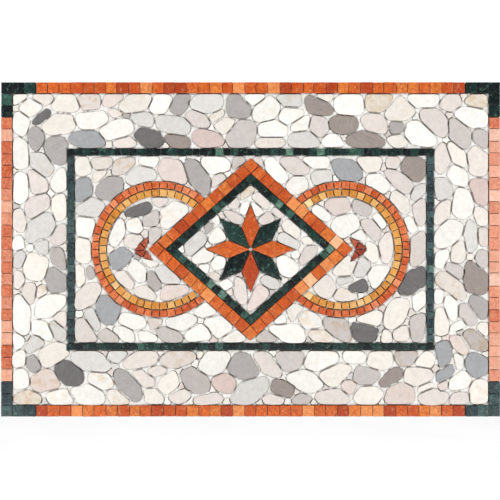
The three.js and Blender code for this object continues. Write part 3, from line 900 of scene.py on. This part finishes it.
def gap_openness(stones, low, high, spots):
    """How wide the widest gap beside each spot is: 0 for a narrow one, 1 for a wide one."""
    cell_x = np.arange(low[0], high[0]) + 0.5
    cell_z = np.arange(low[1], high[1]) + 0.5
    free = np.ones((len(cell_x), len(cell_z)), dtype=bool)
    for stone in stones:
        reach = stone.reach.max()
        xs = slice(*np.searchsorted(cell_x, (stone.centre[0] - reach, stone.centre[0] + reach)))
        zs = slice(*np.searchsorted(cell_z, (stone.centre[1] - reach, stone.centre[1] + reach)))
        x, z = np.meshgrid(cell_x[xs] - stone.centre[0], cell_z[zs] - stone.centre[1], indexing="ij")
        angles = np.arctan2(stone.directions[:, 1], stone.directions[:, 0])
        order = np.argsort(angles)
        limit = np.interp(np.arctan2(z, x), angles[order], stone.reach[order], period=2 * math.pi)
        free[xs, zs] &= np.hypot(x, z) > limit
    width = free.astype(int)
    for _ in range(WIDE_GAP - 1):
        free = spread(free, np.logical_and)
        width += free
    for _ in range(WIDE_GAP):
        width = spread(width, np.maximum)
    index = [(int(x - low[0]), int(z - low[1])) for x, z in spots]
    return np.array([max(0, width[i, j] - 1) / (WIDE_GAP - 1) for i, j in index])


def spread(cells, joined):
    """Each cell joined with the four beside it."""
    result = cells.copy()
    result[1:] = joined(result[1:], cells[:-1])
    result[:-1] = joined(result[:-1], cells[1:])
    result[:, 1:] = joined(result[:, 1:], cells[:, :-1])
    result[:, :-1] = joined(result[:, :-1], cells[:, 1:])
    return result


def bed_height(x, z):
    """The height of the adhesive in a narrow gap."""
    lumps = noise.noise(Vector((x / 17, z / 17, 3))) + 0.6 * noise.noise(Vector((x / 6, z / 6, 8)))
    return BED_HEIGHT + BED_UNEVENNESS * lumps


def skin_height(x, z):
    """The height of the adhesive's back over the back face."""
    return SKIN_BACK + SKIN_UNEVENNESS * abs(noise.noise(Vector((x / 23, z / 23, 5))))


def add_threads(material):
    """The glass-fibre mesh on the back, threads both ways."""
    low, high = cad_bounds
    size = np.array([high.x - low.x, high.z - low.z]) / METRES - 1.0
    places, faces = [], []
    for axis in (0, 1):
        length, span = size[axis], size[1 - axis]
        count = int(span / THREAD_PITCH)
        for number in range(count):
            across = -span / 2 + (number + 0.5) * span / count
            add_thread(places, faces, axis, across, length, number)
    mesh = bpy.data.meshes.new("glass_mesh")
    mesh.from_pydata(places, [], faces)
    mesh.shade_smooth()
    placed("glass_mesh", mesh, material)


def add_thread(places, faces, axis, across, length, number):
    """One flat thread, a little crooked, that stays within the back face."""
    first = len(places)
    lift = THREAD_LIFT * axis
    for step in range(THREAD_STEPS + 1):
        along = -length / 2 + length * step / THREAD_STEPS
        wander = THREAD_WANDER * noise.noise(Vector((along / 60, number * 1.7, axis * 9)))
        for side, height in ((-1, THREAD_EDGE), (0, 0.0), (1, THREAD_EDGE), (0, THREAD_THICKNESS)):
            flat = [0.0, 0.0]
            flat[axis] = along
            flat[1 - axis] = across + wander + side * THREAD_WIDTH / 2
            places.append((flat[0] * METRES, -(height + lift) * METRES, flat[1] * METRES))
    for step in range(THREAD_STEPS):
        for k in range(4):
            a = first + step * 4 + k
            b = first + step * 4 + (k + 1) % 4
            faces.append((a, b, b + 4, a + 4) if axis else (b, a, a + 4, b + 4))
    last = first + THREAD_STEPS * 4
    for ring, turned in ((first, axis == 1), (last, axis == 0)):
        cap = (ring, ring + 1, ring + 2, ring + 3)
        faces.append(cap[::-1] if turned else cap)


# Materials


class Shading:
    """A material whose nodes are added one by one. Each call gives back the new node's output."""

    def __init__(self, name, **surface):
        self.material = bpy.data.materials.new(name)
        self.material.use_nodes = True
        self.tree = self.material.node_tree
        self.surface = self.tree.nodes["Principled BSDF"]
        for label, value in surface.items():
            self.surface.inputs[label.replace("_", " ")].default_value = value

    def feed(self, socket, value):
        """Links a node's output to the socket, or sets the socket to a number or colour."""
        if isinstance(value, bpy.types.NodeSocket):
            self.tree.links.new(value, socket)
        else:
            socket.default_value = value

    def add(self, kind, inputs, output=0, **settings):
        """Adds a node with these inputs, by name or number."""
        made = self.tree.nodes.new(kind)
        for label, value in settings.items():
            setattr(made, label, value)
        for label, value in inputs.items():
            self.feed(made.inputs[label], value)
        return made.outputs[output]

    def attribute(self, name, output=2):
        """A value that the stones carry: 0 reads a colour, 2 a number."""
        return self.add("ShaderNodeAttribute", {}, output, attribute_name=name)

    def calculate(self, operation, a, b=0.0):
        """One sum on numbers."""
        return self.add("ShaderNodeMath", {0: a, 1: b}, operation=operation)

    def place(self):
        """The place on the panel in mm."""
        place = self.add("ShaderNodeTexCoord", {}, 3)
        return self.add("ShaderNodeVectorMath", {0: place, "Scale": 1 / METRES}, operation="SCALE")

    def own_place(self):
        """The place in mm, turned and moved for each stone, so that no pattern runs on to the next."""
        seed = self.attribute("seed")
        turned = self.add(
            "ShaderNodeVectorRotate",
            {"Vector": self.place(), "Axis": (0, 1, 0), "Angle": self.calculate("MULTIPLY", seed, 40.0)},
        )
        shift = self.calculate("MULTIPLY", seed, 900.0)
        return self.add("ShaderNodeVectorMath", {0: turned, 1: shift}, operation="ADD")

    def scaled(self, value, scale):
        """A place or colour with each of its three numbers times its own number."""
        return self.add("ShaderNodeVectorMath", {0: value, 1: scale}, operation="MULTIPLY")

    def cloud(self, place, size, detail=2.0, roughness=0.5, distortion=0.0):
        """Soft noise whose patches are about size mm across, from 0 to 1."""
        inputs = {"Vector": place, "Scale": 1 / size, "Detail": detail, "Roughness": roughness}
        return self.add("ShaderNodeTexNoise", {**inputs, "Distortion": distortion})

    def span(self, value, low, high, first=0.0, last=1.0):
        """The value carried from low and high to first and last, held between them."""
        inputs = {"Value": value, "From Min": low, "From Max": high, "To Min": first, "To Max": last}
        return self.add("ShaderNodeMapRange", inputs)

    def veins(self, place, size, width, detail=3.0, distortion=1.0):
        """Thin winding lines: 1 on a line and 0 off it."""
        middle = self.calculate("SUBTRACT", self.cloud(place, size, detail, 0.55, distortion), 0.5)
        return self.span(self.calculate("ABSOLUTE", middle), 0.0, width, 1.0, 0.0)

    def mixed(self, factor, a, b):
        """Colour a where factor is 0 and b where it is 1."""
        return self.add("ShaderNodeMix", {0: factor, 6: a, 7: b}, 2, data_type="RGBA")

    def times(self, colour, factor):
        """The colour made lighter or darker."""
        return self.add("ShaderNodeVectorMath", {0: colour, "Scale": factor}, operation="SCALE")

    def finish(self, colour, roughness, relief, depth):
        """Joins colour, roughness and a relief in mm to the surface."""
        self.feed(self.surface.inputs["Base Color"], colour)
        self.feed(self.surface.inputs["Roughness"], roughness)
        bump = self.add("ShaderNodeBump", {"Height": relief, "Distance": depth * METRES, "Strength": 1.0})
        self.feed(self.surface.inputs["Normal"], bump)
        return self.material


def colour_of(*channels):
    """A colour of the photograph as a shader colour."""
    return (*linear(channels), 1.0)


def pebble_material():
    """Sawn river pebbles: mottled, the dark ones streaked, a few with ochre stains, and painted shade on
    their rims and walls.
    """
    s = Shading("sawn_pebble")
    place, edge = s.own_place(), s.attribute("edge")
    tone = s.attribute("tone", 0)
    mottling = s.cloud(place, 9, 4, 0.6)
    shaded = s.times(tone, s.span(mottling, 0.3, 0.7, 0.9, 1.05))
    streaks = s.cloud(s.scaled(place, (0.2, 0.2, 1.6)), 4, 4, 0.6, 0.5)
    streaked = s.times(shaded, s.span(streaks, 0.32, 0.68, 0.74, 1.2))
    darkness = s.span(s.add("ShaderNodeRGBToBW", {0: tone}), 0.15, 0.5, 0.85, 0.0)
    chance = s.span(s.cloud(s.attribute("seed"), 0.13), 0.5, 0.65, 0.0, 0.4)
    banded = s.mixed(s.calculate("MAXIMUM", darkness, chance), shaded, streaked)
    grains = s.span(s.cloud(place, 0.9, 2), 0.6, 0.72, 0.0, 0.3)
    grained = s.mixed(grains, banded, s.scaled(banded, (0.62, 0.56, 0.52)))
    stain = s.span(s.cloud(place, 14, 3, 0.6, 0.6), 0.48, 0.62)
    share = s.calculate("MULTIPLY", stain, s.attribute("patch"))
    stained = s.mixed(share, grained, s.scaled(grained, (0.86, 0.66, 0.4)))
    # Painted shade: the rounded rims, side walls and feet of the stones darken towards brown-black, broken
    # up by a noise.
    painted_shade_mottle = s.span(s.cloud(place, 7, 3), 0.35, 0.65, 0.35, 1.0)
    rim = s.calculate("MULTIPLY", s.span(edge, 0.3, 0.9), painted_shade_mottle)
    colour = s.mixed(rim, stained, s.scaled(stained, (0.17, 0.13, 0.1)))
    roughness = s.span(mottling, 0.3, 0.7, 0.5, 0.68)
    relief = s.calculate("ADD", s.cloud(place, 1.6, 4, 0.6), s.cloud(place, 6, 2))
    return s.finish(colour, roughness, relief, 0.25)


def marble_material(name, dark, light, dark_share, vein_share, roughness=0.3):
    """Polished marble: clouds and cracks of a darker colour, softer on pale tiles, and painted shade on the
    edges and side walls.
    """
    s = Shading(name)
    place, edge = s.own_place(), s.attribute("edge")
    tone = s.attribute("tone", 0)
    # Pale tones, among them the copies with painted sheen, get softer clouds and fine mottling.
    paleness = s.span(s.add("ShaderNodeRGBToBW", {0: tone}), 0.25, 0.42)
    shade = s.mixed(paleness, dark, s.scaled(tone, (0.9, 0.72, 0.64)))
    clouds = s.cloud(place, 7, 5, 0.65, 0.8)
    clouded = s.mixed(s.span(clouds, 0.46, 0.58, 0.0, dark_share), tone, shade)
    cracked = s.mixed(s.calculate("MULTIPLY", s.veins(place, 12, 0.025), dark_share), clouded, shade)
    contrast = s.span(paleness, 0.0, 1.0, 0.24, 0.12)
    fine_cloud = s.span(s.cloud(place, 3.5, 3, 0.55), 0.32, 0.68, -1.0, 1.0)
    change = s.calculate("ADD", s.calculate("MULTIPLY", fine_cloud, contrast), 1.0)
    fine = s.times(cracked, change)
    patchy = s.span(s.cloud(place, 10, 2), 0.5, 0.62, 0.0, vein_share)
    share = s.calculate("MULTIPLY", s.veins(s.scaled(place, (-1, 1, 1)), 14, 0.03), patchy)
    veined = s.mixed(share, fine, light)
    # Painted shade: the rounded edges and side walls of the tiles darken nearly to black, broken up by a
    # noise.
    painted_shade_mottle = s.span(s.cloud(place, 3, 3), 0.3, 0.7, 0.7, 1.0)
    painted_edge_shade = s.calculate("MULTIPLY", s.span(edge, 0.2, 0.8), painted_shade_mottle)
    colour = s.mixed(painted_edge_shade, veined, s.scaled(veined, (0.14, 0.1, 0.08)))
    uneven = s.span(s.cloud(place, 6, 3), 0.3, 0.7, roughness - 0.04, roughness + 0.12)
    relief = s.cloud(place, 4, 3, 0.5)
    return s.finish(colour, uneven, relief, 0.12)


def orange_marble():
    """Orange marble of the border, the diamond, the rings and the star."""
    return marble_material("orange_marble", colour_of(176, 62, 16), colour_of(250, 206, 160), 0.7, 0.35)


def green_marble():
    """Dark green marble of the corners, the frame, the diamond and the star."""
    dark, light = colour_of(6, 18, 18), colour_of(110, 160, 140)
    return marble_material("green_marble", dark, light, 0.55, 0.5, 0.24)


def yellow_marble():
    """Yellow marble of the rings."""
    return marble_material("yellow_marble", colour_of(186, 108, 34), colour_of(248, 224, 180), 0.6, 0.4)


def brown_red_marble():
    """Brown-red marble of the shards."""
    return marble_material("brown_red_marble", colour_of(120, 42, 26), colour_of(226, 170, 136), 0.7, 0.3)


def adhesive_material():
    """White adhesive in the wide gaps, with the weave of the mesh under it, and painted brown shade in the
    narrow ones.
    """
    s = Shading("adhesive")
    place = s.place()
    clouds = s.cloud(place, 13, 4, 0.6)
    base = s.mixed(s.span(clouds, 0.35, 0.65), colour_of(238, 234, 228), colour_of(252, 251, 248))
    stains = s.span(s.cloud(place, 30, 3, 0.6, 0.5), 0.58, 0.78, 0.0, 0.3)
    stained = s.mixed(stains, base, colour_of(160, 144, 128))
    # Painted shade: the adhesive in narrow gaps between stones is brown-grey, in wide ones white.
    painted_gap_shade = s.mixed(s.cloud(place, 9, 3), colour_of(78, 64, 52), colour_of(122, 106, 92))
    colour = s.mixed(s.span(s.attribute("open"), 0.15, 1.0), painted_gap_shade, stained)
    relief = s.calculate("ADD", s.cloud(place, 1.8, 4, 0.65), woven(s, place))
    return s.finish(colour, s.span(clouds, 0.3, 0.7, 0.7, 0.9), relief, 0.3)


def woven(s, place):
    """Lines both ways at the pitch of the glass threads, 1 on a thread."""
    split = s.tree.nodes.new("ShaderNodeSeparateXYZ")
    s.feed(split.inputs[0], place)
    lines = []
    for output in (0, 2):
        turn = s.calculate("MULTIPLY", split.outputs[output], 2 * math.pi / THREAD_PITCH)
        lines.append(s.span(s.calculate("COSINE", turn), 0.7, 0.95))
    return s.calculate("MAXIMUM", lines[0], lines[1])


def thread_material():
    """Glass fibre soaked in adhesive."""
    s = Shading("glass_fibre")
    place = s.place()
    smear = s.cloud(place, 18, 3)
    colour = s.mixed(s.span(smear, 0.35, 0.65), colour_of(214, 210, 198), colour_of(238, 236, 228))
    return s.finish(colour, s.span(smear, 0.3, 0.7, 0.45, 0.65), s.cloud(place, 0.7, 2), 0.1)


def floor_material():
    """A plain pale floor with a very faint unevenness."""
    s = Shading("pale_floor")
    place = s.place()
    soft = s.span(s.cloud(place, 300, 2), 0.3, 0.7, 0.97, 1.0)
    colour = s.times(linear((252, 252, 252)), soft)
    return s.finish(colour, 0.9, s.cloud(place, 4, 2), 0.02)


# Stage, light and camera


def add_floor():
    """The floor below the panel, which hangs on its mount."""
    level = cad_bounds[0].z - FLOOR_DROP
    corners = ((-1, -1), (1, -1), (1, 1), (-1, 1))
    mesh = bpy.data.meshes.new("floor")
    mesh.from_pydata([(x * FLOOR_REACH, y * FLOOR_REACH, level) for x, y in corners], [], [(0, 1, 2, 3)])
    mesh.materials.append(floor_material())
    floor = bpy.data.objects.new("floor", mesh)
    bpy.context.scene.collection.objects.link(floor)


def add_softbox(name, place, size, power):
    """A large soft light that faces the middle of the panel."""
    data = bpy.data.lights.new(name, "AREA")
    data.shape = "RECTANGLE"
    data.size, data.size_y = size
    data.energy = power
    lamp = bpy.data.objects.new(name, data)
    lamp.location = place
    lamp.rotation_euler = (-Vector(place)).to_track_quat("-Z", "Y").to_euler()
    bpy.context.scene.collection.objects.link(lamp)


def add_studio():
    """White surroundings that are dimmer on the viewer's side, two tall soft boxes and one above."""
    world = bpy.data.worlds.new("studio")
    world.use_nodes = True
    bpy.context.scene.world = world
    nodes, links = world.node_tree.nodes, world.node_tree.links
    facing = nodes.new("ShaderNodeVectorMath")
    facing.operation = "DOT_PRODUCT"
    facing.inputs[1].default_value = BRIGHT_SIDE
    links.new(nodes.new("ShaderNodeTexCoord").outputs["Generated"], facing.inputs[0])
    brightness = nodes.new("ShaderNodeMapRange")
    labels = ("From Min", "From Max", "To Min", "To Max")
    for label, value in zip(labels, (*LIGHT_CHANGE, FRONT_LIGHT, BACK_LIGHT)):
        brightness.inputs[label].default_value = value
    links.new(facing.outputs["Value"], brightness.inputs["Value"])
    links.new(brightness.outputs[0], nodes["Background"].inputs["Strength"])
    nodes["Background"].inputs["Color"].default_value = (1, 1, 1, 1)
    for box in SOFT_BOXES:
        add_softbox(*box)
    bpy.context.scene.view_settings.view_transform = "Standard"


def add_camera():
    """The camera straight in front of the panel, at the photograph's scale."""
    data = bpy.data.cameras.new("camera")
    data.sensor_width = SENSOR_WIDTH
    data.lens = SENSOR_WIDTH * CAMERA_DISTANCE / (IMAGE_WIDTH * PIXEL * METRES)
    camera = bpy.data.objects.new("camera", data)
    middle = from_photo((IMAGE_WIDTH / 2, IMAGE_WIDTH / 2)) * METRES
    camera.location = (middle[0], -CAMERA_DISTANCE - FACE_HEIGHT, middle[1])
    camera.rotation_euler = (math.pi / 2, 0, 0)
    bpy.context.scene.collection.objects.link(camera)
    bpy.context.scene.camera = camera


# The panel


def tile_groups():
    """All tiles, as node name: (stones, finish)."""
    diamond = diamond_outline()
    groups = {}
    for side in SIDES:
        border, inner = "border_row_" + side, "frame_row_" + side
        border_tones, inner_tones = ROW_TONES[side]
        groups[border] = (row_stones(border, border_tones), "orange_marble")
        groups[inner] = (row_stones(inner, inner_tones), "green_marble")
    for corner in CORNERS:
        name = "border_corner_" + corner
        # The bottom corners take the green copy with painted sheen.
        tones = GREEN_TONES if corner.startswith("top") else PAINTED_SHEEN_GREEN_TONES
        groups[name] = (corner_stones(name, tones), "green_marble")
    for quarter in QUARTERS:
        outer, inner = "diamond_outer_row_" + quarter, "diamond_inner_row_" + quarter
        groups[outer] = (row_stones(outer, ORANGE_TONES), "orange_marble")
        groups[inner] = (row_stones(inner, GREEN_TONES), "green_marble")
    for hand in HANDS:
        outer, inner = "ring_" + hand + "_outer_row", "ring_" + hand + "_inner_row"
        groups[outer] = (ring_stones(outer, RING_ORANGE_TONES, diamond), "orange_marble")
        groups[inner] = (ring_stones(inner, YELLOW_TONES, diamond), "yellow_marble")
        for number in range(1, SHARDS + 1):
            name = "shard_%s_%d" % (hand, number)
            groups[name] = (single_stone(name, SHARD_TONES), "brown_red_marble")
    for number in range(1, PETALS + 1):
        name = "star_petal_%d" % number
        orange = number % 2
        tones = ORANGE_TONES if orange else GREEN_TONES
        groups[name] = (single_stone(name, tones), "orange_marble" if orange else "green_marble")
    return groups


def diamond_outline():
    """The outer outline of the diamond."""
    points = [welded("diamond_outer_row_" + quarter)[0][:, :2] for quarter in QUARTERS]
    return hull_of(np.concatenate(points))


def tile_obstacles():
    """The outlines that pebbles keep off, and the two rings."""
    names = ["border_row_" + side for side in SIDES]
    names += ["frame_row_" + side for side in SIDES]
    names += ["diamond_%s_row_%s" % (row, quarter) for row in ("outer", "inner") for quarter in QUARTERS]
    names += ["star_petal_%d" % number for number in range(1, PETALS + 1)]
    names += ["shard_%s_%d" % (hand, number) for hand in HANDS for number in range(1, SHARDS + 1)]
    outlines = [hull_of(welded(name)[0][:, :2]) for name in names]
    for corner in CORNERS:
        outlines.append(corner_obstacle("border_corner_" + corner))
    rings = []
    for hand in HANDS:
        centre, inner, _ = ring_size("ring_" + hand + "_inner_row")
        rings.append((centre, inner, ring_size("ring_" + hand + "_outer_row")[2]))
    return outlines, rings


def corner_obstacle(name):
    """The outline of an L-shaped corner piece."""
    low, high = flat_corners(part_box(name))
    outward = np.sign(low + high)
    outer = np.where(outward > 0, high, low)
    across = outward * (high - low) / CORNER_TILES
    far = np.where(outward > 0, low, high)
    x0, z0 = outer
    x1, z1 = far
    x2, z2 = outer - across
    return np.array([(x0, z0), (x1, z0), (x1, z2), (x2, z2), (x2, z1), (x0, z1)])


def pebble_fields():
    """All pebbles, by field."""
    names = ["pebbles_band_" + side for side in SIDES]
    names += ["pebbles_corner_" + corner for corner in CORNERS]
    names += ["pebbles_ring_" + hand for hand in HANDS] + ["pebbles_star"]
    all_tops = {name: pebble_tops(name) for name in names}
    outlines, rings = tile_obstacles()
    fields = {}
    for name in names:
        near_rings = [] if name == "pebbles_star" else rings
        fields[name] = field_stones(name, all_tops, outlines, near_rings)
    return fields


def colour_accents(groups, accents):
    """Gives the stone nearest to each accent of the photograph its colour."""
    stones = [stone for group in groups for stone in group]
    for colour, pixels in accents.items():
        for place in map(from_photo, pixels):
            nearest = min(stones, key=lambda stone: np.linalg.norm(stone.centre - place))
            nearest.tone = linear(colour)
            nearest.patch = TAN_STAIN if colour == TAN else 0.0


def materials():
    """The finish of each kind of stone."""
    return {
        "pebble": pebble_material(),
        "orange_marble": orange_marble(),
        "green_marble": green_marble(),
        "yellow_marble": yellow_marble(),
        "brown_red_marble": brown_red_marble(),
        "adhesive": adhesive_material(),
        "threads": thread_material(),
    }


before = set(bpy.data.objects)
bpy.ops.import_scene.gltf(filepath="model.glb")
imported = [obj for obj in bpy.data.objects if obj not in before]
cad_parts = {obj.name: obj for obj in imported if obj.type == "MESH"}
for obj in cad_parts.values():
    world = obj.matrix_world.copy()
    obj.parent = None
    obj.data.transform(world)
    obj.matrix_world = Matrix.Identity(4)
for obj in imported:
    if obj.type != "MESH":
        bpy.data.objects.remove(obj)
cad_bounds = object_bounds()
RAY_ANGLES = np.linspace(-math.pi, math.pi, RAYS, endpoint=False)

finishes = materials()
tiles = tile_groups()
fields = pebble_fields()
tile_stones = {name: stones for name, (stones, _) in tiles.items()}
chips = chip_stones(fields, tile_stones)
colour_accents(fields.values(), ACCENTS)
colour_accents(tile_stones.values(), TILE_ACCENTS)
for name, (stones, finish) in tiles.items():
    add_stones(name, stones, TILE_PROFILE, finishes[finish])
for name, stones in fields.items():
    add_stones(name, stones + chips[name], PEBBLE_PROFILE, finishes["pebble"])
groups = [*tile_stones.values(), *fields.values(), *chips.values()]
add_bed(finishes["adhesive"], [stone for stones in groups for stone in stones])
add_threads(finishes["threads"])
add_floor()
add_studio()
add_camera()
